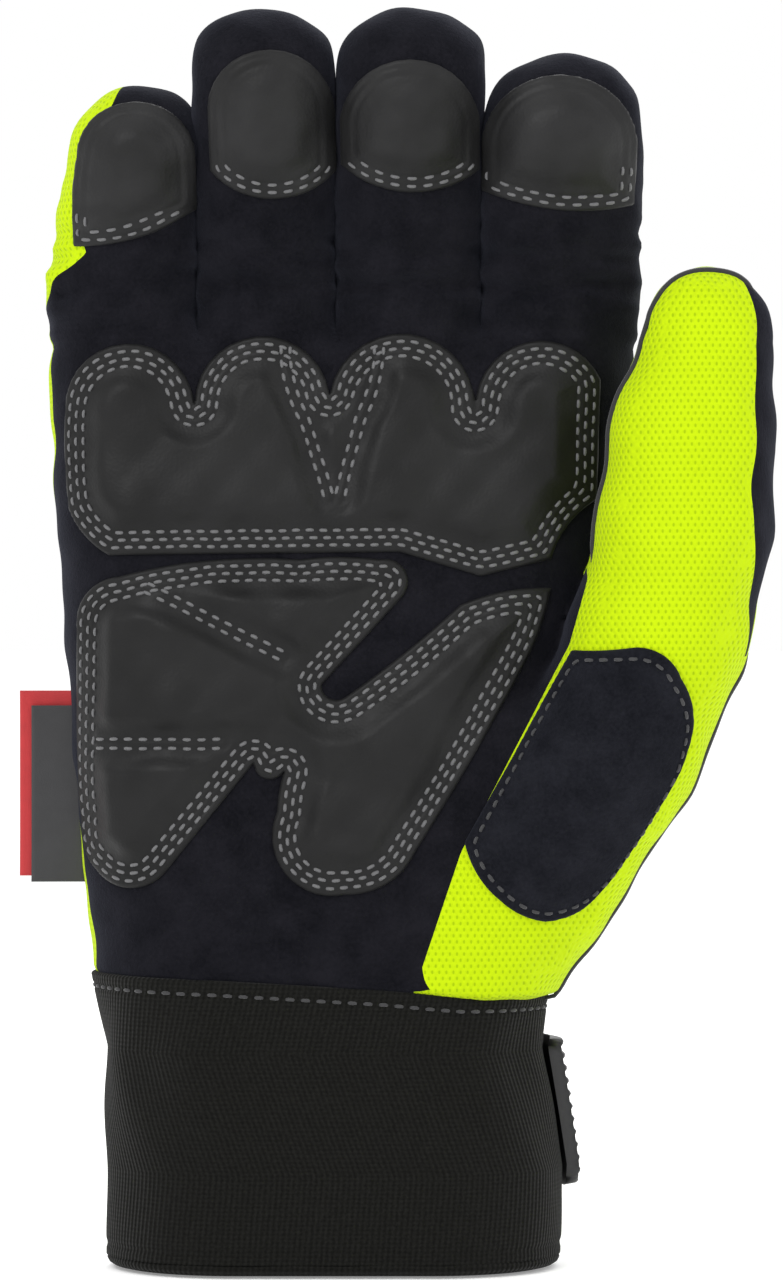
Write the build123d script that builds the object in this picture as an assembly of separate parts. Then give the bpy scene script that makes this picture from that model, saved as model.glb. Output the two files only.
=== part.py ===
"""Right-hand high-visibility work glove with a padded palm, built from its sewn pieces.

Frame, in millimetres: the origin is the centre of the cuff's mouth, +Z runs along the hand
to the fingertips, the palm faces -Y and the thumb is on the +X side.
"""
from build123d import *
from functools import lru_cache
from math import cos, radians, sin
import os

# ---------------------------------------------------------------- driving dimensions
CUFF_TOP = 58.0            # seam between cuff and hand
HAND_TOP = 184.5           # top of the rigid hand body, below the finger crease
FINGER_BOTTOM = 204.5      # lowest point of the moving finger bodies
CREASE_Z = 194.5           # crease that the fingers bend about
FINGER_AXIS_Y = -3.6       # where the finger axes cross the crease height
FINGER_TILT = 20.0         # pre-curve of the fingers towards the palm, degrees

SKIN = 1.3                 # suede, leather or knit panel
LINING = 1.5               # soft lining
PLY_GAP = 0.1              # between plies of one body
BODY_GAP = 0.3             # between pieces of different bodies
PATCH = 1.5                # single-ply patch on top of a panel
PAD = 3.0                  # padded leather patch on the palm
FOAM_INSET = 0.8           # leather over and under the foam
FOURCHETTE_HALF = 6.5      # half width of a finger's side wall

# Hand sections from wrist to finger roots: height, left edge, right edge, depth
HAND_SECTIONS = (
    (50.0, -46.2, 44.2, 50.0),
    (58.0, -46.6, 44.6, 50.0),
    (90.0, -50.0, 50.0, 48.0),
    (130.0, -53.0, 56.0, 44.0),
    (160.0, -55.0, 61.0, 38.0),
    (192.0, -56.0, 63.2, 31.0),
)

# Cuff sections, from the mouth up to the hand
CUFF_SECTIONS = (
    (-4.0, -43.0, 46.0, 50.0),
    (20.0, -43.4, 47.0, 50.0),
    (44.0, -44.0, 43.4, 48.0),
    (62.0, -46.8, 44.8, 50.0),
)

# Root of the thumb: centre, direction of the thumb there, half width, half depth
THUMB_ROOT = (
    ((24.0, -4.0, 56.0), (0.45, -0.15, 0.88), 20.0, 18.0),
    ((42.0, -10.0, 84.0), (0.52, -0.20, 0.83), 19.5, 17.0),
    ((58.0, -16.0, 108.0), (0.42, -0.20, 0.89), 18.0, 17.0),
    ((66.7, -20.5, 127.0), (0.20, -0.14, 0.97), 17.2, 17.2),
    ((69.6, -22.9, 144.0), (0.17, -0.14, 0.975), 17.1, 17.1),
)

# Thumb: hinge point, direction of its axis, and radii along it from the hinge
THUMB_HINGE = (68.5, -21.5, 136.0)
THUMB_DIRECTION = (0.166, -0.138, 0.977)
THUMB_STATIONS = ((-12.0, 17.2), (14.0, 17.0), (31.0, 15.9), (51.5, 12.4))
THUMB_HALF_GAP = 8.5       # half of the flexing zone, along the thumb

# Fingers: lane on the X axis, radius at the crease and at the tip, tip height, sideways lean
LANE_GAP = 0.6
FINGERS = {
    "little": dict(left=-55.5, right=-26.3, root=14.5, tip=12.3, top=236.6, lean=3.0),
    "ring": dict(left=-25.7, right=1.7, root=13.7, tip=13.4, top=252.0, lean=0.0),
    "middle": dict(left=2.3, right=31.0, root=14.3, tip=14.1, top=252.0, lean=0.0),
    "index": dict(left=31.6, right=62.5, root=15.3, tip=14.8, top=242.6, lean=0.0),
}

# Fingertip caps, as seen from the palm: left, right, bottom, top
TIP_CAPS = {
    "little": (-49.4, -26.6, 205.5, 232.0),
    "ring": (-21.6, 1.2, 211.6, 244.0),
    "middle": (5.0, 30.0, 213.4, 241.0),
    "index": (33.0, 61.0, 211.0, 236.0),
}

# Closure strap round the back of the cuff
STRAP_HINGE_X = -24.0
STRAP_BOTTOM = 18.0
STRAP_TOP = 43.0
TAB_BOTTOM = 15.5
TAB_TOP = 46.0
TAB_START_X = 37.0
LOOP_PILE = 1.2
HOOK_PILE = 0.9
WEBBING = 1.4

# Folded side label
LABEL_BOTTOM = 77.0
LABEL_TOP = 116.0
LABEL_LEFT = -62.0
LABEL_PLY = 0.6

FAR = 120.0                # half size of the cutting blocks


# ---------------------------------------------------------------- shapes shared by the panels
def block(x0, x1, y0, y1, z0, z1):
    """Box between two corners."""
    centre = Pos((x0 + x1) / 2, (y0 + y1) / 2, (z0 + z1) / 2)
    return centre * Box(x1 - x0, y1 - y0, z1 - z0)


def level(z0, z1):
    """Everything between two heights."""
    return block(-FAR, FAR, -FAR, FAR, z0, z1)


FRONT = block(-FAR, FAR, -FAR, -0.05, -FAR, 3 * FAR)
BACK = block(-FAR, FAR, 0.05, FAR, -FAR, 3 * FAR)


def prism(corners, side=-1):
    """Prism through the palm side (-1) or the back (+1) under an outline seen from the front.

    Each corner is (x, z, bulge). The bulge is the height of the arc on the edge that leads
    to the corner, and 0 makes that edge straight.
    """
    edges = []
    for start, end in zip(corners[-1:] + corners[:-1], corners):
        if end[2]:
            edges.append(SagittaArc(start[:2], end[:2], end[2]))
        else:
            edges.append(Line(start[:2], end[:2]))
    outline = Plane.XZ * make_face(edges)
    return extrude(outline, amount=-side * FAR)


def slot_loft(sections, grow):
    """Loft through flattened-oval sections, all grown by the same amount."""
    ovals = []
    for z, left, right, depth in sections:
        oval = SlotOverall(right - left + 2 * grow, depth + 2 * grow)
        ovals.append(Pos((left + right) / 2, 0, z) * oval)
    return loft(ovals)


def across(centre, direction):
    """Plane square to a direction, with its X axis level."""
    normal = Vector(*direction).normalized()
    return Plane(centre, x_dir=Vector(0, 1, 0).cross(normal), z_dir=normal)


THUMB_FRAME = across(THUMB_HINGE, THUMB_DIRECTION)


def beyond_thumb(distance, sign):
    """Large block on one side of a plane square to the thumb, at a distance from its hinge."""
    base = Pos(0, 0, distance + sign * FAR) * Box(2 * FAR, 2 * FAR, 2 * FAR)
    return THUMB_FRAME * base


@lru_cache(maxsize=None)
def hand(grow, overrun=0.0):
    """Hand and thumb root as one solid, grown, with its thumb end run on by the overrun."""
    palm = slot_loft(HAND_SECTIONS, grow)
    root = loft([
        across(centre, direction) * Ellipse(half_width + grow, half_depth + grow)
        for centre, direction, half_width, half_depth in THUMB_ROOT
    ])
    root -= beyond_thumb(overrun - THUMB_HALF_GAP, 1)
    return palm + root


@lru_cache(maxsize=None)
def hand_layer(inner, outer):
    """Layer of the hand between two offsets, open at the wrist and at the fingers."""
    return (hand(outer) - hand(inner, 2.0)) & level(CUFF_TOP + 0.3, HAND_TOP)


@lru_cache(maxsize=None)
def cuff_layer(inner, outer):
    """Layer of the cuff between two offsets."""
    return slot_loft(CUFF_SECTIONS, outer) - slot_loft(CUFF_SECTIONS, inner)


def domed(stations, grow):
    """Solid of revolution about Z through (height, radius) stations, closed by a dome."""
    rim = [(radius + grow, z) for z, radius in stations]
    foot = stations[0][0]
    dome_z, dome_r = stations[-1][0], stations[-1][1] + grow
    shoulder = (dome_r * cos(radians(45)), dome_z + dome_r * sin(radians(45)))
    edges = [Line((0, foot), rim[0])]
    edges += [Line(a, b) for a, b in zip(rim, rim[1:])]
    edges.append(ThreePointArc(rim[-1], shoulder, (0, dome_z + dome_r)))
    edges.append(Line((0, dome_z + dome_r), (0, foot)))
    return revolve(Plane.XZ * make_face(edges), Axis.Z)


# ---------------------------------------------------------------- outlines seen from the palm
THUMB_KNIT = [(17.6, 50, 0), (27, 84, 0), (48.4, 125, 0), (52, 138, 0), (FAR, 138, 0),
              (FAR, 50, 0)]
SADDLE = [(28.4, 83, 0), (38, 71, -1.5), (55, 74.4, -1.5), (69, 94, -2), (73.4, 108, -1),
          (66, 124, -3), (48.4, 124, 0), (39, 106, 0)]
UPPER_PAD = [(-52.4, 154, 0), (-52.4, 174, 0), (-26, 173, 13), (1, 175, 12), (30, 172, 12),
             (55, 181, 10), (54.4, 154, 0), (45, 142, -2), (31, 138.4, 0), (15, 143.4, 0),
             (-43, 142.8, 0)]
UPPER_FOAM = (
    [(-49, 146, 0), (-49, 171, 0), (-29, 171, 8), (-26, 160, 0), (-14, 147, 0)],
    [(-22, 162, 0), (-22, 173, 0), (-4, 175, 7), (-3, 150, 0), (-9, 147, 0)],
    [(5, 150, 0), (5, 176, 0), (26, 172, 7), (26, 146, 0)],
    [(33, 146, 0), (33, 172, 0), (52, 178, 6), (51, 156, 0), (43, 145, 0)],
)
LOWER_PAD = [(-50, 130, 0), (-41, 138.6, 3), (-5, 142.4, 2), (11, 142.0, 1), (15, 134, 3),
             (-0.6, 116, 0), (4, 114.6, 0), (27, 134, -1), (45, 137, 2), (39, 120, -1),
             (18, 84, -2),
             (4, 75.6, 4), (-9.4, 92, 7), (-14, 101.6, 2), (-32, 79.4, -2),
             (-50, 90, 9), (-50.4, 102, 1)]
LOWER_FOAM = (
    [(-47, 110, 0), (-46, 131, 0), (-32, 136, 2), (-16, 124, 0)],
    [(-47, 92, 0), (-47, 106, 0), (-14, 121, 0), (-10, 108, 0), (-33, 84, -2)],
    [(-5, 92, 0), (-4, 108, 0), (22, 126, 0), (36, 127, 1), (16, 88, -1), (4, 79, 3)],
)
KNUCKLE_GUARD = [(-50, 156, 0), (-50, 176, 3), (55, 178, 4), (54, 158, 3), (2, 150, 3)]
REFLECTIVE = [(-44, 112, 0), (-44, 120, 0), (46, 126, 0), (46, 118, 0)]


# ---------------------------------------------------------------- collecting the nodes
nodes = {}


def add(name, shape):
    """Keep a finished piece under its node name, as a flat group of its solids."""
    solids = shape.solids()
    nodes[name] = solids[0] if len(solids) == 1 else Compound(children=list(solids))


def make_hand():
    """Panels, lining and web of the hand and of the thumb's root."""
    skin = hand_layer(-SKIN, 0.0)
    knit_side = prism(THUMB_KNIT)
    add("palm_panel", (skin & FRONT) - knit_side)
    add("thumb_root_knit", skin & FRONT & knit_side)
    add("back_panel", skin & BACK)
    inner = SKIN + PLY_GAP
    add("hand_lining", hand_layer(-inner - LINING, -inner))

    rim = slot_loft(HAND_SECTIONS, -inner - LINING - PLY_GAP)
    web = rim & level(HAND_TOP - 2.0, HAND_TOP)
    for finger in FINGERS.values():
        middle = (finger["left"] + finger["right"]) / 2
        width = finger["right"] - finger["left"] - 5.0
        depth = 24.0
        hole = extrude(Pos(middle, 0, HAND_TOP - 5) * RectangleRounded(width, depth, 9), 10)
        web -= hole
    add("finger_web", web)


def padded_patch(name, outline, foam_outlines):
    """Leather patch with foam islands enclosed under it."""
    low, high = PLY_GAP, PLY_GAP + PAD
    cover = hand_layer(low, high) & FRONT & prism(outline)
    foam_layer = hand_layer(low + FOAM_INSET, high - FOAM_INSET) & FRONT
    pieces = [foam_layer & prism(islet) for islet in foam_outlines]
    foam = pieces[0]
    for piece in pieces[1:]:
        foam += piece
    add(name + "_cover", cover - foam)
    add(name + "_foam", foam)


def make_palm_patches():
    """Two padded leather patches and the saddle patch at the base of the thumb."""
    padded_patch("upper_palm_pad", UPPER_PAD, UPPER_FOAM)
    padded_patch("lower_palm_pad", LOWER_PAD, LOWER_FOAM)
    patch_layer = hand_layer(PLY_GAP, PLY_GAP + PATCH) & FRONT
    saddle = patch_layer & prism(SADDLE)
    add("thumb_saddle_patch", saddle - nodes["lower_palm_pad_cover"])


def make_back():
    """Knuckle guard with its foam, and the reflective strip, on the back of the hand."""
    guard = hand_layer(PLY_GAP, PLY_GAP + PAD) & BACK & prism(KNUCKLE_GUARD, 1)
    ribs = []
    for left, right in ((-46, -28), (-22, 0), (6, 29), (35, 51)):
        ribs.append([(left, 160, 0), (left, 174, 0), (right, 174, 0), (right, 160, 0)])
    foam_layer = hand_layer(PLY_GAP + FOAM_INSET, PLY_GAP + PAD - FOAM_INSET) & BACK
    foam = foam_layer & prism(ribs[0], 1)
    for rib in ribs[1:]:
        foam += foam_layer & prism(rib, 1)
    add("knuckle_guard_cover", guard - foam)
    add("knuckle_guard_foam", foam)
    strip_layer = hand_layer(PLY_GAP, PLY_GAP + 0.5) & BACK
    add("reflective_strip", strip_layer & prism(REFLECTIVE, 1))


def make_cuff():
    """Elastic cuff: outer band, inner elastic, lining and bound edge."""
    band = 1.4
    elastic = 0.8
    lining_out = band + elastic + 2 * PLY_GAP
    edge = 3.0
    top = CUFF_TOP
    add("cuff_band", cuff_layer(-band, 0.0) & level(edge, top))
    add("wrist_elastic", cuff_layer(-band - PLY_GAP - elastic, -band - PLY_GAP) & level(38, 50))
    add("cuff_lining", cuff_layer(-lining_out - LINING, -lining_out) & level(edge, top))
    add("cuff_binding", cuff_layer(-lining_out - LINING - 0.6, 0.6) & level(0, edge - PLY_GAP))


def make_strap():
    """Hook-and-loop closure: loop pile and sewn anchor on the cuff, strap that peels off."""
    loop_out = PLY_GAP + LOOP_PILE
    hook_in = loop_out + BODY_GAP
    hook_out = hook_in + HOOK_PILE
    web_in = hook_out + PLY_GAP
    web_out = web_in + WEBBING

    def across_back(layer, x0, x1, z0, z1):
        return layer & block(x0, x1, 0.0, FAR, z0, z1)

    loop_layer = cuff_layer(PLY_GAP, loop_out)
    add("loop_patch", across_back(loop_layer, -20, 36, STRAP_BOTTOM, STRAP_TOP))
    anchor_layer = cuff_layer(PLY_GAP, web_out)
    add("strap_anchor", across_back(anchor_layer, -36, STRAP_HINGE_X - BODY_GAP,
                                    STRAP_BOTTOM, STRAP_TOP))
    hook_layer = cuff_layer(hook_in, hook_out)
    add("strap_hook_pad", across_back(hook_layer, -8, 34, STRAP_BOTTOM + 1.5, STRAP_TOP - 1.5))
    web_layer = cuff_layer(web_in, web_out)
    add("strap_webbing", across_back(web_layer, STRAP_HINGE_X, TAB_START_X - PLY_GAP,
                                     STRAP_BOTTOM, STRAP_TOP))
    tab_layer = cuff_layer(hook_in, web_out + 0.6)
    add("strap_pull_tab", across_back(tab_layer, TAB_START_X, FAR, TAB_BOTTOM, TAB_TOP))


def make_label():
    """Folded label in the side seam: a front ply and a back ply."""
    foot_gap = 1.4
    bottom_x = -49.4 - foot_gap
    top_x = -51.6 - foot_gap
    outline = [(LABEL_LEFT, LABEL_BOTTOM, 0), (LABEL_LEFT, LABEL_TOP, 0),
               (top_x, LABEL_TOP, 0), (bottom_x, LABEL_BOTTOM, 0)]
    sheet = prism(outline)
    add("label_front", sheet & block(-FAR, FAR, -LABEL_PLY - 0.05, -0.05, 0, FAR))
    sheet = prism(outline, 1)
    add("label_back", sheet & block(-FAR, FAR, 0.05, LABEL_PLY + 0.05, 0, FAR))


def finger_form(finger, grow, side_grow=None):
    """Outer form of a finger, tilted and leaning, kept inside its lane."""
    if side_grow is None:
        side_grow = grow
    middle = (finger["left"] + finger["right"]) / 2
    tilt = radians(FINGER_TILT)
    length = (finger["top"] - finger["tip"] - CREASE_Z) / cos(tilt)
    form = domed(((-6.0, finger["root"]), (length, finger["tip"])), grow)
    place = Pos(middle, FINGER_AXIS_Y, CREASE_Z) * Rot(FINGER_TILT, finger["lean"], 0)
    lane = block(finger["left"] - side_grow, finger["right"] + side_grow, -FAR, FAR,
                 HAND_TOP, 3 * FAR)
    return (place * form) & lane


def finger_sides(finger):
    """Blocks for the palm side, the back, and the two side walls of a tilted finger."""
    middle = (finger["left"] + finger["right"]) / 2
    place = Pos(middle, FINGER_AXIS_Y, CREASE_Z) * Rot(FINGER_TILT, finger["lean"], 0)
    half = FOURCHETTE_HALF
    return {
        "palm_skin": place * block(-FAR, FAR, -FAR, -half, -FAR, FAR),
        "back_skin": place * block(-FAR, FAR, half, FAR, -FAR, FAR),
        "fourchette_left": place * block(-FAR, 0, -half, half, -FAR, FAR),
        "fourchette_right": place * block(0, FAR, -half, half, -FAR, FAR),
    }


def make_finger(name, finger):
    """Skins, side walls, tip cap and lining of one finger, and the sleeve at its crease."""
    above = level(FINGER_BOTTOM, 3 * FAR)
    skin = (finger_form(finger, 0.0) - finger_form(finger, -SKIN)) & above
    for part, side in finger_sides(finger).items():
        add(f"{name}_{part}", skin & side)
    inner = SKIN + PLY_GAP
    lining = finger_form(finger, -inner) - finger_form(finger, -inner - LINING)
    add(f"{name}_lining", lining & above)

    left, right, bottom, top = TIP_CAPS[name]
    cap_face = Pos((left + right) / 2, (bottom + top) / 2) * RectangleRounded(
        right - left, top - bottom, 9)
    cap_prism = extrude(Plane.XZ * cap_face, amount=FAR)
    palm_side = finger_sides(finger)["palm_skin"]
    shell = finger_form(finger, PLY_GAP + PATCH, 0.0) - finger_form(finger, PLY_GAP)
    add(f"{name}_tip_cap", shell & cap_prism & palm_side)

    middle = (finger["left"] + finger["right"]) / 2
    width = finger["right"] - finger["left"] - 0.6
    zones = ((HAND_TOP + BODY_GAP, 0.0, 31.0), (FINGER_BOTTOM - BODY_GAP, -7.0, 29.0))

    def tube(shrink):
        return loft([
            Pos(middle, y, z) * RectangleRounded(width - shrink, depth - shrink,
                                                 12.5 - shrink / 2)
            for z, y, depth in zones
        ])

    add(f"{name}_flex_sleeve", tube(0.0) - tube(2 * SKIN))


def make_thumb():
    """Thumb: knit front and back, suede side strip, piping, lining and flexing sleeve."""
    def layer(inner, outer):
        shell = domed(THUMB_STATIONS, outer) - domed(THUMB_STATIONS, inner)
        return THUMB_FRAME * shell

    moving = beyond_thumb(THUMB_HALF_GAP, 1)
    strip_half = 6.0
    front = THUMB_FRAME * block(-FAR, FAR, -FAR, 0.0, -FAR, FAR)
    back = THUMB_FRAME * block(-FAR, FAR, 0.0, FAR, -FAR, FAR)
    side = THUMB_FRAME * block(0.0, FAR, -strip_half, strip_half, -FAR, FAR)
    skin = layer(-SKIN, 0.0) & moving
    add("thumb_side_strip", skin & side)
    add("thumb_knit_front", (skin & front) - side)
    add("thumb_knit_back", (skin & back) - side)
    inner = SKIN + PLY_GAP
    add("thumb_lining", layer(-inner - LINING, -inner) & moving)
    seam = THUMB_FRAME * block(-FAR, 0.0, -0.9, 0.9, -FAR, FAR)
    add("thumb_piping", layer(PLY_GAP, 1.2) & moving & seam)
    zone = beyond_thumb(BODY_GAP - THUMB_HALF_GAP, 1) - beyond_thumb(
        THUMB_HALF_GAP - BODY_GAP, 1)
    add("thumb_flex_sleeve", layer(-SKIN - 0.6, -0.6) & zone)


make_hand()
make_palm_patches()
make_back()
make_cuff()
make_strap()
make_label()
for finger_name, finger_sizes in FINGERS.items():
    make_finger(finger_name, finger_sizes)
make_thumb()

os.makedirs("parts", exist_ok=True)
for node_name, node_shape in nodes.items():
    export_step(node_shape, f"parts/{node_name}.step")
print(len(nodes), "nodes")
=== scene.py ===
"""Looks of the right-hand high-visibility work glove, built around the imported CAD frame.

Lengths in the shape functions are in millimetres, in the frame of the CAD model: the palm
faces -Y, the thumb is on +X and +Z runs to the fingertips. Meshes are stored in metres.
"""
import math
from itertools import pairwise
import bpy
import numpy as np
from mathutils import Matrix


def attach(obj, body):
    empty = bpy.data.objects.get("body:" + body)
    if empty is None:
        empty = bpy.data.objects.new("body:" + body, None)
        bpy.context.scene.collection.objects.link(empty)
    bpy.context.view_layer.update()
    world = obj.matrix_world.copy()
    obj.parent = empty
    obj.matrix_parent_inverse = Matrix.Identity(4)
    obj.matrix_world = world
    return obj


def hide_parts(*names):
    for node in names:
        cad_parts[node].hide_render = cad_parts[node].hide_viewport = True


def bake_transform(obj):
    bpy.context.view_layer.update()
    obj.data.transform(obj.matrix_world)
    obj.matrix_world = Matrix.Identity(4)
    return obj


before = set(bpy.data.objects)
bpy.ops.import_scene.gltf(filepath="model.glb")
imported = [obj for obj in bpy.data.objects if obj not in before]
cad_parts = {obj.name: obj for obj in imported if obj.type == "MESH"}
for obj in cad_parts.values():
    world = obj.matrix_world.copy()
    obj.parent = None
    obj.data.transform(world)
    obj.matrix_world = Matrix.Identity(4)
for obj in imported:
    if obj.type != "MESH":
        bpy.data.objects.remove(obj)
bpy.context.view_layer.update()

MM = 0.001

# ---------------------------------------------------------------- sizes shared with the frame
HAND_Z = (50.0, 58.0, 90.0, 130.0, 160.0, 192.0)
HAND_LEFT = (-46.2, -46.6, -50.0, -53.0, -55.0, -56.0)
HAND_RIGHT = (44.2, 44.6, 50.0, 56.0, 61.0, 63.2)
HAND_DEPTH = (50.0, 50.0, 48.0, 44.0, 38.0, 31.0)
BEND_START = 184.5         # the fingers bend over this stretch of Z
HAND_BOTTOM = 51.0         # the hand ends here, inside the cuff
FINGER_NAMES = ("little", "ring", "middle", "index")
FINGER_TILT = math.radians(22)     # the fingertips lean this far towards the palm side
# Lane on the X axis, then the centreline with its radii: x, y, z, radius
FINGERS = {
    "little": ((-55.5, -26.3), ((-40.6, -2.0, 172, 13.5), (-40.6, -4.0, 194.5, 14.6),
                                (-38.6, -8.5, 211, 13.2), (-37.4, -14.6, 224.3, 12.4))),
    "ring": ((-25.7, 1.7), ((-12.0, -1.0, 172, 13.5), (-12.0, -3.8, 194.5, 13.9),
                            (-12.0, -10.0, 217, 13.9), (-12.4, -18.8, 238.0, 13.7))),
    "middle": ((2.3, 31.0), ((16.6, -1.0, 172, 14.0), (16.6, -3.8, 194.5, 14.4),
                             (16.8, -10.0, 217, 14.3), (17.4, -18.8, 237.6, 14.2))),
    "index": ((31.6, 62.5), ((46.6, -1.0, 172, 14.0), (46.8, -4.0, 194.5, 15.4),
                             (47.0, -9.2, 213, 15.2), (47.4, -15.8, 228.0, 14.9))),
}
THUMB_CHAIN = ((22.0, -4.0, 54, 17.5), (40.0, -9.0, 80, 18.6), (56.0, -15.5, 104, 18.0),
               (66.4, -20.5, 127, 17.2), (71.2, -24.0, 148, 17.0), (72.6, -26.2, 166, 16.1),
               (76.0, -28.8, 186.6, 12.6))
THUMB_HINGE = np.array((68.5, -21.5, 136.0))
THUMB_AXIS = np.array((0.166, -0.138, 0.977))
THUMB_BEND = 10.0          # the thumb bends over this far below and above its hinge


def thumb_frame():
    """Directions of the thumb: sideways, towards the back, and along it."""
    axis = THUMB_AXIS / np.linalg.norm(THUMB_AXIS)
    side = np.cross((0, 1, 0), axis)
    side /= np.linalg.norm(side)
    return side, np.cross(axis, side), axis


def along_chain(z, points, column):
    """Value in one column of a centreline, at the given heights."""
    points = np.array(points)
    return np.interp(z, points[:, 2], points[:, column])


# ---------------------------------------------------------------- distance fields
def smooth_min(a, b, k):
    h = np.clip(0.5 + 0.5 * (b - a) / k, 0, 1)
    return b * (1 - h) + a * h - k * h * (1 - h)


def smooth_max(a, b, k):
    return -smooth_min(-a, -b, k)


def step(x, low, high):
    t = np.clip((x - low) / (high - low), 0, 1)
    return t * t * (3 - 2 * t)


def oval(x, y, left, right, depth):
    """Distance to a flattened oval that reaches from left to right."""
    middle = (left + right) / 2
    radius = depth / 2
    flat = np.maximum(np.abs(x - middle) - ((right - left) / 2 - radius), 0)
    return np.hypot(flat, y) - radius


def chain(p, points, k):
    """Distance to a run of tapered round bars."""
    result = None
    for start, end in pairwise(points):
        a, b = np.array(start[:3]), np.array(end[:3])
        t = np.clip((p - a) @ (b - a) / np.dot(b - a, b - a), 0, 1)
        radius = start[3] + (end[3] - start[3]) * t
        d = np.linalg.norm(p - a - t[..., None] * (b - a), axis=-1) - radius
        result = d if result is None else smooth_min(result, d, k)
    return result


def ripple(p):
    """Soft unevenness of stuffed cloth, a few tenths of a millimetre."""
    x, y, z = p[..., 0], p[..., 1], p[..., 2]
    total = 0.22 * np.sin(0.21 * x + 0.9 * np.sin(0.11 * z) + 0.13 * y)
    total += 0.20 * np.sin(0.27 * z - 0.8 * np.sin(0.17 * x) + 1.3)
    total += 0.12 * np.sin(0.47 * x + 0.39 * z + 0.31 * y + 0.4)
    total += 0.10 * np.sin(-0.61 * x + 0.52 * z + 2.1)
    folds = 0.42 * np.sin(0.95 * z + 0.16 * x + 1.6 * np.sin(0.12 * x + 0.7))
    folds += 0.20 * np.sin(1.5 * z - 0.34 * x + 0.5)
    total += folds * np.exp(-((z - 201) / 11.0) ** 2) * step(-y, 2.0, 12.0) * step(66 - x, 0, 3)
    return total


def cuff_top(x):
    """Height of the cuff's upper edge, which dips towards the thumb."""
    return np.interp(x, (-46, -20, 15, 30, 45), (58.8, 58.0, 56.0, 54.6, 54.4))


def palm_field(p):
    x, y, z = p[..., 0], p[..., 1], p[..., 2]
    left = np.interp(z, HAND_Z, HAND_LEFT)
    right = np.interp(z, HAND_Z, HAND_RIGHT)
    depth = np.interp(z, HAND_Z, HAND_DEPTH)
    d = oval(x, y, left, right, depth)
    return smooth_max(d, z - 188.0, 8.0)


# Depth, height, slope and width of the creases across each finger
CREASES = ((1.5, 195.5, 0.05, 2.2), (0.5, 203.0, -0.08, 1.5), (0.5, 189.0, -0.06, 1.6))


def finger_field(p, name):
    """One finger, flattened where it meets its neighbours, with creases on the palm side."""
    (left, right), points = FINGERS[name]
    x, y, z = p[..., 0], p[..., 1], p[..., 2]
    d = chain(p, points, 3.0)
    wall = np.abs(x - (left + right) / 2) - ((right - left) / 2 - 0.45)
    d = smooth_max(d, wall, 2.2)
    beside_wall = np.abs(x - (left + right) / 2) - (right - left) / 2
    front = step(-y, -2.0, 10.0) * (1 - 0.8 * step(beside_wall, -5.0, -1.0))
    crease = sum(deep * np.exp(-((z - height - slope * (x - left)) / width) ** 2)
                 for deep, height, slope, width in CREASES)
    return d + crease * front


def thumb_field(p):
    return chain(p, THUMB_CHAIN, 4.0)


def hand_field(p):
    """Hand and fingers, without the thumb or the cloth's unevenness."""
    fingers = finger_field(p, FINGER_NAMES[0])
    for name in FINGER_NAMES[1:]:
        fingers = np.minimum(fingers, finger_field(p, name))
    return smooth_min(palm_field(p), fingers, 3.5)


def thumbless_field(p):
    return hand_field(p) + ripple(p)


def glove_field(p):
    """The whole hand, fingers and thumb."""
    body = hand_field(p)
    softness = np.interp(p[..., 2], (104, 124), (9.0, 0.6))
    under_cuff = (2.0 + 2.5 * step(p[..., 0], 5, 25)) * step(
        cuff_top(p[..., 0]) + 1.5 - p[..., 2], 0.0, 3.0)
    return smooth_min(body, thumb_field(p), softness) + ripple(p) + under_cuff


def gradient(field, p, reach=0.25):
    parts = []
    for axis in np.eye(3) * reach:
        parts.append(field(p + axis) - field(p - axis))
    g = np.stack(parts, -1)
    return g / np.maximum(np.linalg.norm(g, axis=-1, keepdims=True), 1e-9)


def settle(field, p, rounds=3):
    """Moves points onto the field's surface."""
    for _ in range(rounds):
        p = p - np.clip(field(p), -2, 2)[:, None] * gradient(field, p)
    return p


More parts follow.
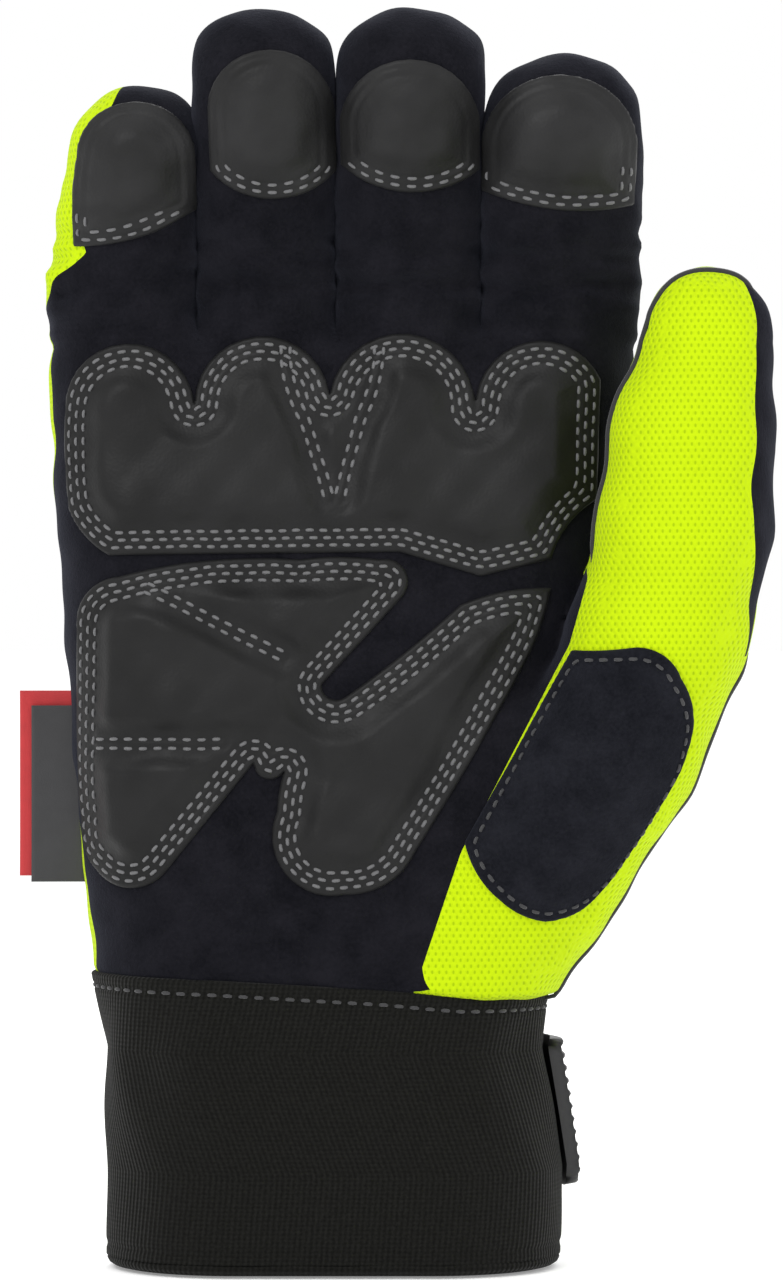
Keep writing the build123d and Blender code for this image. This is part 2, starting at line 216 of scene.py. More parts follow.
# ---------------------------------------------------------------- mesh tools
def surface(field, low, high, cell):
    """Closed triangle mesh of a field's zero surface, with one vertex in each crossed cell."""
    axes = [np.arange(a, b + cell, cell) for a, b in zip(low, high)]
    values = np.empty([len(a) for a in axes], np.float32)
    yy, zz = np.meshgrid(axes[1], axes[2], indexing="ij")
    for i, x in enumerate(axes[0]):
        values[i] = field(np.stack([np.full_like(yy, x), yy, zz], -1))
    inside = values < 0
    shape = tuple(n - 1 for n in values.shape)
    total = np.zeros(shape + (3,), np.float32)
    count = np.zeros(shape, np.float32)
    corners = [(i, j, k) for i in (0, 1) for j in (0, 1) for k in (0, 1)]

    def view(a, c):
        return a[c[0]:c[0] + shape[0], c[1]:c[1] + shape[1], c[2]:c[2] + shape[2]]

    edges = [(a, b) for a in corners for b in corners
             if sum(b) - sum(a) == 1 and all(q >= p for p, q in zip(a, b))]
    for a, b in edges:
        va, vb = view(values, a), view(values, b)
        crossed = view(inside, a) != view(inside, b)
        t = np.where(crossed, va / np.where(crossed, va - vb, 1), 0)
        for n in range(3):
            total[..., n] += np.where(crossed, a[n] + t * (b[n] - a[n]), 0)
        count += crossed
    used = count > 0
    index = np.full(shape, -1, np.int64)
    index[used] = np.arange(used.sum())
    cells = np.argwhere(used)
    points = (cells + total[used] / count[used][:, None]) * cell + np.array(low)
    faces = []
    for axis in range(3):
        other = [n for n in range(3) if n != axis]
        near = [slice(1, -1)] * 3
        near[axis] = slice(0, -1)
        far = [slice(1, -1)] * 3
        far[axis] = slice(1, None)
        a, b = inside[tuple(near)], inside[tuple(far)]
        for at, flip in ((a & ~b, axis == 1), (~a & b, axis != 1)):
            where = np.argwhere(at) + 1
            where[:, axis] -= 1
            quad = []
            for du, dv in ((0, 0), (1, 0), (1, 1), (0, 1)):
                cell_at = where.copy()
                cell_at[:, other[0]] -= du
                cell_at[:, other[1]] -= dv
                quad.append(index[tuple(cell_at.T)])
            quad = np.stack(quad, -1)
            faces.append(quad[:, ::-1] if flip else quad)
    quads = np.concatenate(faces)
    return points, np.concatenate([quads[:, (0, 1, 2)], quads[:, (0, 2, 3)]])


def clip(points, faces, values):
    """Cuts a triangle mesh along values = 0. Returns (points, faces where positive, rest)."""
    values = np.where(np.abs(values) < 1e-4, 1e-4, values)
    plus = values > 0
    signs = plus[faces]
    number = signs.sum(1)
    mixed = faces[(number > 0) & (number < 3)]
    s = plus[mixed]
    lone = np.where(s.sum(1) == 1, s.argmax(1), (~s).argmax(1))
    rows = np.arange(len(mixed))
    a = mixed[rows, lone]
    b = mixed[rows, (lone + 1) % 3]
    c = mixed[rows, (lone + 2) % 3]
    edges = np.sort(np.concatenate([np.stack([a, b], 1), np.stack([a, c], 1)]), 1)
    unique, inverse = np.unique(edges, axis=0, return_inverse=True)
    inverse = inverse.reshape(-1)
    va, vb = values[unique[:, 0]], values[unique[:, 1]]
    t = (va / (va - vb))[:, None]
    fresh = points[unique[:, 0]] * (1 - t) + points[unique[:, 1]] * t
    base = len(points)
    ab, ac = base + inverse[:len(a)], base + inverse[len(a):]
    tip = np.stack([a, ab, ac], 1)
    rest = np.concatenate([np.stack([ab, b, c], 1), np.stack([ab, c, ac], 1)])
    tip_plus = plus[a]
    twice = np.concatenate([tip_plus, tip_plus])
    front = np.concatenate([faces[number == 3], tip[tip_plus], rest[~twice]])
    back = np.concatenate([faces[number == 0], tip[~tip_plus], rest[twice]])
    return np.concatenate([points, fresh]), front, back


def grid_faces(rows, columns, closed):
    """Triangles of a grid of points, joined into a tube when closed."""
    number = np.arange(rows * columns).reshape(rows, columns)
    following = np.roll(number, -1, 1) if closed else number[:, 1:]
    here = number if closed else number[:, :-1]
    a, b = here[:-1].ravel(), following[:-1].ravel()
    c, d = following[1:].ravel(), here[1:].ravel()
    return np.concatenate([np.stack([a, b, c], 1), np.stack([a, c, d], 1)])


def make_sheet(name, top, under, rows, columns, material, cloth=None):
    """Thin closed sheet between two grids of points."""
    faces = grid_faces(rows, columns, False)
    return make(name, np.concatenate([top, under]),
                np.concatenate([faces[:, ::-1], faces + len(top)]), material, cloth=cloth)


def make(name, points, faces, material, smooth=True, cloth=None):
    """Blender mesh in metres from points in millimetres, leaving out unused points.

    The material is laid out on the places stored here, so it moves with a part that bends.
    The cloth gives other places, such as those on a band laid flat."""
    faces = np.asarray(faces)
    used, inverse = np.unique(faces, return_inverse=True)
    inverse = inverse.reshape(faces.shape)
    mesh = bpy.data.meshes.new(name)
    mesh.from_pydata((np.asarray(points)[used] * MM).tolist(), [], inverse.tolist())
    mesh.update()
    if smooth:
        mesh.shade_smooth()
    place = np.asarray(points if cloth is None else cloth)[used] * MM
    normal = np.zeros(len(used) * 3)
    mesh.vertex_normals.foreach_get("vector", normal)
    for title, values in (("cloth_place", place.ravel()), ("cloth_normal", normal)):
        mesh.attributes.new(title, "FLOAT_VECTOR", "POINT").data.foreach_set("vector", values)
    mesh.materials.append(material)
    piece = bpy.data.objects.new(name, mesh)
    bpy.context.scene.collection.objects.link(piece)
    return piece


# ---------------------------------------------------------------- materials
def set_inputs(node, **values):
    for key, value in values.items():
        node.inputs[key.replace("_", " ")].default_value = value


class Nodes:
    """Small helper that adds and links shader nodes."""

    def __init__(self, name, roughness, sheen=0.0, sheen_tint=(1, 1, 1), specular=0.4):
        self.material = bpy.data.materials.new(name)
        self.material.use_nodes = True
        self.tree = self.material.node_tree
        self.shader = self.tree.nodes["Principled BSDF"]
        set_inputs(self.shader, Roughness=roughness, Specular_IOR_Level=specular,
                   Sheen_Weight=sheen, Sheen_Roughness=0.5, Sheen_Tint=(*sheen_tint, 1))
        self.place = self.stored("cloth_place")

    def add(self, kind, **inputs):
        node = self.tree.nodes.new(kind)
        for key, value in inputs.items():
            self.set(node, key.replace("_", " "), value)
        return node

    def stored(self, title):
        node = self.tree.nodes.new("ShaderNodeAttribute")
        node.attribute_name = title
        return node.outputs["Vector"]

    def set(self, node, key, value):
        socket = node.inputs[key]
        if isinstance(value, bpy.types.NodeSocket):
            self.tree.links.new(value, socket)
        else:
            socket.default_value = value

    def math(self, operation, a, b=0.0):
        node = self.tree.nodes.new("ShaderNodeMath")
        node.operation = operation
        self.set(node, 0, a)
        self.set(node, 1, b)
        return node.outputs[0]

    def plus(self, a, b):
        return self.math("ADD", a, b)

    def times(self, a, b):
        return self.math("MULTIPLY", a, b)

    def clamp(self, value):
        return self.add("ShaderNodeClamp", Value=value).outputs[0]

    def noise(self, scale, detail=3.0):
        node = self.add("ShaderNodeTexNoise", Vector=self.place, Scale=scale, Detail=detail)
        return node.outputs["Fac"]

    def cells(self, scale):
        node = self.add("ShaderNodeTexVoronoi", Vector=self.place, Scale=scale)
        return node.outputs["Distance"]

    def ramp(self, value, stops):
        node = self.tree.nodes.new("ShaderNodeValToRGB")
        self.set(node, "Fac", value)
        while len(node.color_ramp.elements) < len(stops):
            node.color_ramp.elements.new(0.5)
        for element, (at, color) in zip(node.color_ramp.elements, stops):
            element.position = at
            element.color = (*color, 1)
        return node.outputs["Color"]

    def mix(self, factor, a, b):
        node = self.tree.nodes.new("ShaderNodeMix")
        node.data_type = "RGBA"
        for socket, value in ((0, factor), (6, a), (7, b)):
            if isinstance(value, tuple):
                value = (*value, 1)
            self.set(node, socket, value)
        return node.outputs[2]

    def bump(self, height, strength, distance, under=None):
        node = self.add("ShaderNodeBump", Height=height, Strength=strength)
        node.inputs["Distance"].default_value = distance
        if under:
            self.tree.links.new(under, node.inputs["Normal"])
        return node.outputs[0]

    def finish(self, color, normal, roughness=None):
        self.set(self.shader, "Base Color", color)
        self.tree.links.new(normal, self.shader.inputs["Normal"])
        if roughness:
            self.tree.links.new(roughness, self.shader.inputs["Roughness"])
        return self.material

    def wave(self, direction, pitch):
        """Sine from -1 to 1 along a direction, with the given pitch in metres."""
        node = self.add("ShaderNodeVectorMath", Vector=self.place)
        node.operation = "DOT_PRODUCT"
        node.inputs[1].default_value = direction
        turns = self.math("MULTIPLY", node.outputs["Value"], 2 * math.pi / pitch)
        return self.math("SINE", turns)


def suede_material(name, dark, light, tint):
    """Brushed synthetic suede: matt, mottled nap with a faint sheen."""
    n = Nodes(name, 0.92, sheen=0.06, sheen_tint=tint, specular=0.04)
    mottle = n.noise(140, 5)
    nap = n.noise(1500, 3)
    fine = n.noise(3800, 2)
    color = n.ramp(n.plus(n.times(mottle, 0.6), n.times(nap, 0.4)),
                   [(0.36, dark), (0.66, light)])
    soft = n.bump(n.noise(90, 4), 0.35, 0.0012)
    normal = n.bump(n.plus(nap, fine), 0.5, 0.00025, soft)
    return n.finish(color, normal)


def leather_material(name, dark, light):
    """Smooth synthetic leather with a fine grain and a soft gloss."""
    n = Nodes(name, 0.5, sheen=0.02, specular=0.2)
    grain = n.cells(1500)
    broad = n.noise(60, 3)
    color = n.ramp(broad, [(0.35, dark), (0.7, light)])
    soft = n.bump(n.noise(110, 3), 0.12, 0.0010)
    normal = n.bump(grain, 0.22, 0.00018, soft)
    rough = n.plus(n.times(n.noise(300, 3), 0.22), 0.40)
    return n.finish(color, normal, rough)


def knit_material(name, base, opening_shade, pitch):
    """High-visibility mesh knit: staggered small openings with painted shade in them, laid on from
    three sides.
    """
    n = Nodes(name, 0.75, sheen=0.06, sheen_tint=(0.9, 1.0, 0.5), specular=0.06)

    def openings(along, up):
        a = n.wave([i + 0.58 * j for i, j in zip(along, up)], pitch)
        b = n.wave([i - 0.58 * j for i, j in zip(along, up)], pitch)
        return n.times(n.plus(a, b), 0.5)

    split = n.add("ShaderNodeSeparateXYZ", Vector=n.stored("cloth_normal"))
    facing = [n.math("ABSOLUTE", output) for output in split.outputs]

    def share(chosen, other, third):
        lead = n.math("SUBTRACT", facing[chosen], n.math("MAXIMUM", facing[other], facing[third]))
        return n.clamp(n.plus(n.times(lead, 5.0), 0.5))

    def blend(below, above, amount):
        return n.plus(below, n.times(n.math("SUBTRACT", above, below), amount))

    dots = openings((1, 0, 0), (0, 0, 1))
    dots = blend(dots, openings((0, 1, 0), (0, 0, 1)), share(0, 1, 2))
    dots = blend(dots, openings((1, 0, 0), (0, 1, 0)), share(2, 0, 1))
    # The openings are darkened towards the second colour: painted shade inside them.
    opening_shade_mask = n.clamp(n.times(n.math("SUBTRACT", dots, 0.40), 2.6))
    mottled_base = n.mix(n.noise(90, 3), tuple(c * 0.93 for c in base), base)
    color = n.mix(n.times(opening_shade_mask, 0.75), mottled_base, opening_shade)
    soft = n.bump(n.noise(120, 3), 0.2, 0.0010)
    normal = n.bump(n.times(dots, -1.0), 0.55, 0.00022, soft)
    return n.finish(color, normal)


def rib_material(name, dark, light, pitch=0.0011):
    """Elastic rib knit: fine upright ribs crossed by knitted rows, with painted shade in the
    grooves between them.
    """
    n = Nodes(name, 0.85, sheen=0.05, specular=0.05)
    ribs = n.wave((1, 0, 0), pitch)
    rows = n.wave((0, 0, 1), pitch * 0.8)
    height = n.plus(ribs, n.times(rows, 0.55))
    fuzz = n.noise(2600, 3)
    # The colour follows the ribs' height as well as the random fuzz: painted shade in the grooves,
    # lighter on the crests.
    level = n.plus(n.times(height, 0.12), n.times(fuzz, 0.9))
    color = n.ramp(level, [(0.25, dark), (0.75, light)])
    soft = n.bump(n.noise(160, 3), 0.25, 0.0010)
    normal = n.bump(n.plus(height, fuzz), 0.5, 0.0002, soft)
    return n.finish(color, normal)


def plain_material(name, color, roughness, scale=900, depth=0.00015, sheen=0.0):
    """Plain woven or moulded finish with a fine grain."""
    n = Nodes(name, roughness, sheen=sheen)
    grain = n.noise(scale, 4)
    tone = n.mix(n.noise(scale / 8, 3), tuple(c * 0.7 for c in color), color)
    return n.finish(tone, n.bump(grain, 0.5, depth))


SUEDE = suede_material("suede", (0.0034, 0.0034, 0.0048), (0.0090, 0.0087, 0.0115), (0.7, 0.75, 1))
SADDLE_SUEDE = suede_material("saddle_suede", (0.0046, 0.0049, 0.0068),
                              (0.0120, 0.0124, 0.0162), (0.7, 0.75, 1))
LEATHER = leather_material("pad_leather", (0.0040, 0.0040, 0.0041), (0.0088, 0.0088, 0.0090))
CAP_LEATHER = leather_material("cap_leather", (0.0065, 0.0065, 0.0067), (0.015, 0.015, 0.0155))
# The knit's second colour is painted shade inside its openings.
KNIT = knit_material("hivis_knit", (0.455, 0.63, 0.0025), (0.24, 0.37, 0.001), 0.0014)
# Dark and light ends of the cuff knit's ramp: random fuzz tone, with painted shade in the rib
# grooves.
RIB = rib_material("cuff_knit", (0.0040, 0.0040, 0.0034), (0.0110, 0.0110, 0.0098))
THREAD = plain_material("thread", (0.12, 0.12, 0.125), 0.6, 4000, 0.0001, 0.2)
BLACK_THREAD = plain_material("dark_thread", (0.03, 0.03, 0.032), 0.7, 4000, 0.0001, 0.2)
PIPING = plain_material("piping", (0.010, 0.010, 0.012), 0.7, 1600, 0.0002, 0.3)
LINING = plain_material("fleece", (0.06, 0.06, 0.065), 0.95, 1200, 0.0004, 0.5)
LABEL_BLACK = plain_material("label_black", (0.03, 0.03, 0.032), 0.6, 3000, 0.0001, 0.2)
LABEL_RED = plain_material("label_red", (0.47, 0.018, 0.022), 0.6, 3000, 0.0001, 0.2)
RUBBER = plain_material("rubber", (0.012, 0.012, 0.013), 0.5, 700, 0.0001)
# Dark and light ends of the webbing's ramp: random fuzz tone, with painted shade in the rib
# grooves.
WEBBING = rib_material("webbing", (0.008, 0.008, 0.008), (0.026, 0.026, 0.026), 0.0016)
PILE = plain_material("pile", (0.014, 0.014, 0.015), 0.95, 1800, 0.0006, 0.5)
REFLECTIVE = plain_material("reflective", (0.55, 0.56, 0.58), 0.32, 2400, 0.00008)


# ---------------------------------------------------------------- the hand, cut into panels
def thumb_local(p):
    """Distances from the thumb's hinge: sideways, towards the back, and along the thumb."""
    return [(p - THUMB_HINGE) @ direction for direction in thumb_frame()]


def finger_depth(p, name):
    """How far a point lies towards the palm side from its finger's centreline, in radii."""
    points = FINGERS[name][1]
    z = p[..., 2]
    beyond = np.maximum(z - points[-1][2], 0)
    centre = along_chain(z, points, 1) - beyond * math.tan(FINGER_TILT)
    return (centre - p[..., 1]) * math.cos(FINGER_TILT) / along_chain(z, points, 3)


ROOT_SEAM_X = (13.0, 17.6, 27.0, 48.4, 52.0)
ROOT_SEAM_Z = (40, 56, 84, 125, 138)     # seam between the palm and the root of the thumb
LITTLE_SIDE_Z = (50, 70, 82, 96, 140, 156, 168, 178, 184.5)
LITTLE_SIDE_Y = (-6.0, -6.5, -5.0, 1.5, 1.5, -2.0, -6.5, -6.5, -5.4)
INDEX_SIDE_Z = (50, 140, 170, 184.5)
INDEX_SIDE_Y = (-1.0, -1.0, 2.5, 6.1)
CROTCH = (52, 140)         # X and Z where the thumb parts from the hand
THUMB_TOP = 202
LANE_SLACK = 0.3
OUTER_SLACK = 20           # the outer fingers take everything as far as this past their lanes
FLEECE_DEPTH = 3.0


def side_seam(p):
    """Positive on the back: the seam wanders along the edges of the hand."""
    little = np.interp(p[..., 2], LITTLE_SIDE_Z, LITTLE_SIDE_Y)
    index = np.interp(p[..., 2], INDEX_SIDE_Z, INDEX_SIDE_Y)
    return p[..., 1] - np.where(p[..., 0] < 0, little, index)


def make_hand_panels():
    """Surface of the hand, cut along its seams into separate panels."""
    points, faces = surface(glove_field, (-62, -52, 48), (94, 34, 258), 1.0)
    points = settle(glove_field, points)
    points, faces, _ = clip(points, faces, points[:, 2] - HAND_BOTTOM)

    # the thumb, from just below its hinge
    along = thumb_local(points)[2]
    points, high, low = clip(points, faces, along + THUMB_BEND)
    middle = points[high].mean(1)
    on_thumb = (thumb_field(middle) < 1.5) & (middle[:, 0] > CROTCH[0])
    on_thumb &= middle[:, 2] < THUMB_TOP
    body = np.concatenate([low, high[~on_thumb]])
    make_thumb_pieces(points, high[on_thumb])

    # the fingers, one lane each
    points, upper, lower = clip(points, body, points[:, 2] - BEND_START)
    middle = points[upper].mean(1)
    for name in FINGER_NAMES:
        (left, right), _ = FINGERS[name]
        lane = middle[:, 0] > left - LANE_SLACK - OUTER_SLACK * (name == "little")
        lane &= middle[:, 0] < right + LANE_SLACK + OUTER_SLACK * (name == "index")
        make_finger_pieces(points, upper[lane], name)

    # palm, back and thumb root
    points, back, front = clip(points, lower, side_seam(points))
    from_seam = points[:, 0] - np.interp(points[:, 2], ROOT_SEAM_Z, ROOT_SEAM_X)
    points, far, near = clip(points, front, from_seam)
    high = points[far].mean(1)[:, 2] > CROTCH[1]
    palm = np.concatenate([near, far[high]])
    inner = points - gradient(glove_field, points) * FLEECE_DEPTH
    fleece = np.concatenate([palm, far[~high], back])[:, ::-1]
    reach = np.interp(points[:, 2], (118, 136), (4.0, 0.8))
    points, palm_side, root = clip(points, far[~high], thumb_field(points) - reach)

    finish(make("palm_suede", points, np.concatenate([palm, palm_side]), SUEDE),
           "hand", "suede", "palm_panel", "finger_web")
    finish(make("thumb_root_knit_skin", points, root, KNIT),
           "hand", "hivis_knit", "thumb_root_knit")
    finish(make("back_knit", points, back, KNIT), "hand", "hivis_knit", "back_panel")
    finish(make("hand_fleece", inner, fleece, LINING), "hand", "fleece_lining", "hand_lining")


def name_slot(piece, slot_name, nodes):
    """Hides the model's parts that a piece stands for."""
    if nodes:
        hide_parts(*nodes)


def finish(piece, body, slot_name, *nodes):
    """Attaches a piece to one body."""
    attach(piece, body)
    name_slot(piece, slot_name, nodes)


def bend_finger(piece, name, slot_name, *nodes):
    """Bakes in the placement of a piece that runs from the hand into a finger, and hides the parts
    it stands for.
    """
    middle = sum(FINGERS[name][0]) / 2
    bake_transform(piece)
    name_slot(piece, slot_name, nodes)


def bend_thumb(piece, slot_name, *nodes):
    """Bakes in the placement of a piece that runs from the hand into the thumb, and hides the
    parts it stands for.
    """
    reach = thumb_frame()[2] * THUMB_BEND
    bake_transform(piece)
    name_slot(piece, slot_name, nodes)


def fill_lane(points, name):
    """Widens a finger, above the web, until it nearly meets its neighbours."""
    middle = sum(FINGERS[name][0]) / 2
    spread = 1 + 0.10 * step(points[:, 2], BEND_START, BEND_START + 3)
    points = points.copy()
    points[:, 0] = middle + (points[:, 0] - middle) * spread
    return points


LITTLE_WRAP_Z = (184.5, 190, 196, 203, 212, 225, 240)
LITTLE_WRAP = (0.15, 0.0, 0.45, 0.78, 0.72, 0.62, 0.45)     # knit that wraps to the palm side


def make_finger_pieces(points, faces, name):
    """Palm-side suede with its side walls, and the knit back of one finger."""
    depth = finger_depth(points, name)
    points = fill_lane(points, name)
    edge = -0.55 if name == "index" else -0.45
    if name == "little":
        centre = along_chain(points[:, 2], FINGERS[name][1], 0)
        outside = step(centre - points[:, 0], 1.0, 6.0)
        edge = edge + (np.interp(points[:, 2], LITTLE_WRAP_Z, LITTLE_WRAP) - edge) * outside
    points, back, front = clip(points, faces, edge - depth)
    suede = make(name + "_suede", points, front, SUEDE)
    layers = ("palm_skin", "fourchette_left", "fourchette_right", "flex_sleeve", "lining")
    bend_finger(suede, name, "suede", *(f"{name}_{layer}" for layer in layers))
    knit = make(name + "_back_knit", points, back, KNIT)
    bend_finger(knit, name, "hivis_knit", name + "_back_skin")


def make_thumb_pieces(points, faces):
    """Knit front and back, and suede side strip, of the thumb."""
    side, rear, along = thumb_local(points)
    angle = np.degrees(np.arctan2(rear, side))
    ahead = -18 - 30 * step(along, -12, 26)
    behind = -14 + 34 * step(along, -14, 28)
    points, strip_band, rest = clip(points, faces, np.minimum(angle - ahead, behind - angle))
    points, back, front = clip(points, rest, thumb_local(points)[1] - 1.5)
    bend_thumb(make("thumb_suede_strip", points, strip_band, SUEDE), "suede", "thumb_side_strip")
    bend_thumb(make("thumb_front_knit", points, front, KNIT),
               "hivis_knit", "thumb_knit_front", "thumb_flex_sleeve", "thumb_lining")
    bend_thumb(make("thumb_back_knit", points, back, KNIT), "hivis_knit", "thumb_knit_back")


# ---------------------------------------------------------------- sewn patches
def arc(start, end, bulge, count=14):
    """Points from start to end on an arc whose height, to the left, is the bulge."""
    a, b = np.array(start, float), np.array(end, float)
    if not bulge:
        return [tuple(a)]
    half = np.linalg.norm(b - a) / 2
    left = np.array((-(b - a)[1], (b - a)[0])) / (2 * half)
    radius = (half ** 2 + bulge ** 2) / (2 * bulge)
    centre = (a + b) / 2 - left * (radius - bulge)
    first = math.atan2(*(a - centre)[::-1])
    sweep = -4 * math.atan(bulge / half)
    turn = first + sweep * np.linspace(0, 1, count, endpoint=False)
    return [tuple(centre + abs(radius) * np.array((math.cos(t), math.sin(t)))) for t in turn]


def outline(corners):
    """Closed outline from (x, z, bulge) corners, the bulge being that of the edge before."""
    return route(corners[-1:] + corners)[:-1]


def route(corners):
    """Open line from (x, z, bulge) corners."""
    line = []
    for start, end in pairwise(corners):
        line += arc(start[:2], end[:2], end[2])
    return np.array(line + [corners[-1][:2]])


def distance_to(line, x, z, closed=True):
    """Distance to a line, signed positive inside when it is closed."""
    near = np.full(x.shape, 1e9)
    inside = np.zeros(x.shape, bool)
    ends = np.roll(line, -1, 0) if closed else line[1:]
    for (x0, z0), (x1, z1) in zip(line, ends):
        dx, dz = x1 - x0, z1 - z0
        t = np.clip(((x - x0) * dx + (z - z0) * dz) / (dx * dx + dz * dz + 1e-12), 0, 1)
        near = np.minimum(near, (x - x0 - t * dx) ** 2 + (z - z0 - t * dz) ** 2)
        crosses = (z0 > z) != (z1 > z)
        inside ^= crosses & (x < x0 + (z - z0) / (dz if dz else 1e-12) * dx)
    near = np.sqrt(near)
    return np.where(inside, near, -near) if closed else near


EDGE_MARGIN = 1.6          # a patch stays this far inside the outline of the hand


def kept_inside(distance):
    """Distance from the outline, eased so that it never falls to nothing."""
    return (distance + np.sqrt(distance ** 2 + 4 * EDGE_MARGIN ** 2)) / 2


def front_points(x, z, field, rear=False):
    """Points on the surface at (x, z), seen from the palm side or the rear, with normals."""
    sign = -1.0 if rear else 1.0
    left = np.interp(z, HAND_Z, HAND_LEFT)
    right = along_chain(z, THUMB_CHAIN, 0) + 0.95 * along_chain(z, THUMB_CHAIN, 3)
    x = left + kept_inside(x - left)
    x = right - kept_inside(right - x)
    p = np.stack([x, np.full(x.shape, -sign * 62.0), z], -1)
    for _ in range(50):
        p[:, 1] += sign * np.clip(field(p), -3, 6) * 0.8
    missed = np.abs(field(p)) > 0.5
    if missed.any():
        level = np.stack([x, np.full(x.shape, -sign * 4.0), z], -1)[missed]
        p[missed] = settle(field, level, 6)
    return p, gradient(field, p, 0.8)


def contour(values, xs, zs, at):
    """Lines along which a grid of values equals a level, as lists of (x, z)."""
    v = values - at

    def crossing(a, b):
        (i, j), (k, m) = a, b
        t = v[a] / (v[a] - v[b])
        return (xs[i] + t * (xs[k] - xs[i]), zs[j] + t * (zs[m] - zs[j]))

    links = {}
    spots = {}
    up = v > 0
    mixed = (up[:-1, :-1] != up[1:, :-1]) | (up[:-1, :-1] != up[:-1, 1:])
    mixed |= (up[:-1, :-1] != up[1:, 1:])
    for i, j in np.argwhere(mixed):
        i, j = int(i), int(j)
        ring = [(i, j), (i + 1, j), (i + 1, j + 1), (i, j + 1)]
        hits = []
        for a, b in zip(ring, ring[1:] + ring[:1]):
            if up[a] != up[b]:
                key = (min(a, b), max(a, b))
                spots[key] = crossing(*key)
                hits.append(key)
        for a, b in zip(hits[::2], hits[1::2]):
            links.setdefault(a, []).append(b)
            links.setdefault(b, []).append(a)
    lines = []
    seen = set()
    ends = [k for k, n in links.items() if len(n) == 1]
    for start in ends + list(links):
        if start in seen:
            continue
        walk = [start]
        seen.add(start)
        while True:
            following = [n for n in links[walk[-1]] if n not in seen]
            if not following:
                break
            walk.append(following[0])
            seen.add(following[0])
        if len(links[walk[-1]]) == 2 and start in links[walk[-1]]:
            walk.append(start)
        lines.append(np.array([spots[k] for k in walk]))
    return [line for line in lines if len(line) > 6]


class Patch:
    """A sewn patch of varying thickness, seen as a height over (x, z)."""

    def __init__(self, corners, height, cell=0.6, field=glove_field, rear=False, finger=None):
        self.line = outline(corners)
        self.height = height
        self.field = field
        self.rear = rear
        self.finger = finger
        low, high = self.line.min(0) - 2, self.line.max(0) + 2
        self.xs = np.arange(low[0], high[0] + cell, cell)
        self.zs = np.arange(low[1], high[1] + cell, cell)
        self.grid_x, self.grid_z = np.meshgrid(self.xs, self.zs, indexing="ij")
        self.depth = distance_to(self.line, self.grid_x, self.grid_z)

    def lifted(self, x, z):
        """Points on top of the patch, with the normals under them."""
        d = distance_to(self.line, x, z)
        p, normal = front_points(x, z, self.field, self.rear)
        p = p + normal * self.height(d, x, z)[:, None]
        return (fill_lane(p, self.finger) if self.finger else p), normal

    def build(self, name, material):
        """Mesh of the patch's top, cut off along its outline."""
        x, z = self.grid_x.ravel(), self.grid_z.ravel()
        faces = grid_faces(*self.grid_x.shape, False)
        if not self.rear:
            faces = faces[:, ::-1]
        flat = np.stack([x, z, np.zeros_like(x)], 1)
        flat, inside, _ = clip(flat, faces, self.depth.ravel() - 0.02)
        used, inverse = np.unique(inside, return_inverse=True)
        points, _ = self.lifted(flat[used, 0], flat[used, 1])
        return make(name, points, inverse.reshape(inside.shape), material)

    def rows(self, levels):
        """Lines that run inside the outline, at the given distances from it."""
        return [line for at in levels for line in contour(self.depth, self.xs, self.zs, at)]


STITCH_SIDES = 6


def stitch_mesh(name, lines, lift, material, length=1.9, gap=0.8, radius=0.3):
    """Short round stitches along lines, each sinking into the cloth at its ends."""
    starts, ends = [], []
    for line in lines:
        line = np.asarray(line)
        reach = np.append(0, np.cumsum(np.linalg.norm(np.diff(line, axis=0), axis=1)))
        number = int(reach[-1] / (length + gap))
        if number < 1:
            continue
        at = (np.arange(number) + 0.5) * reach[-1] / number
        for side, store in ((-0.5, starts), (0.5, ends)):
            s = np.clip(at + side * length, 0, reach[-1])
            store.append(np.stack([np.interp(s, reach, line[:, n]) for n in (0, 1)], 1))
    starts, ends = np.concatenate(starts), np.concatenate(ends)
    profile = ((0.0, -0.30, 0.15), (0.12, 0.0, 0.8), (0.35, 0.16, 1.0), (0.65, 0.16, 1.0),
               (0.88, 0.0, 0.8), (1.0, -0.30, 0.15))
    rings = []
    direction = ends - starts
    for t, rise, size in profile:
        flat = starts + direction * t
        p, normal = lift(flat[:, 0], flat[:, 1])
        rings.append((p + normal * rise, normal, size))
    along = rings[-1][0] - rings[0][0]
    along /= np.linalg.norm(along, axis=1, keepdims=True)
    points = []
    for p, normal, size in rings:
        across = np.cross(along, normal)
        for turn in np.linspace(0, 2 * math.pi, STITCH_SIDES, endpoint=False):
            ring = across * math.cos(turn) * 1.15 + normal * math.sin(turn)
            points.append(p + ring * radius * size)
    points = np.stack(points, 1)
    count, per = points.shape[:2]
    one = grid_faces(len(profile), STITCH_SIDES, True)
    faces = (one[None] + np.arange(count)[:, None, None] * per).reshape(-1, 3)
    return make(name, points.reshape(-1, 3), faces, material)


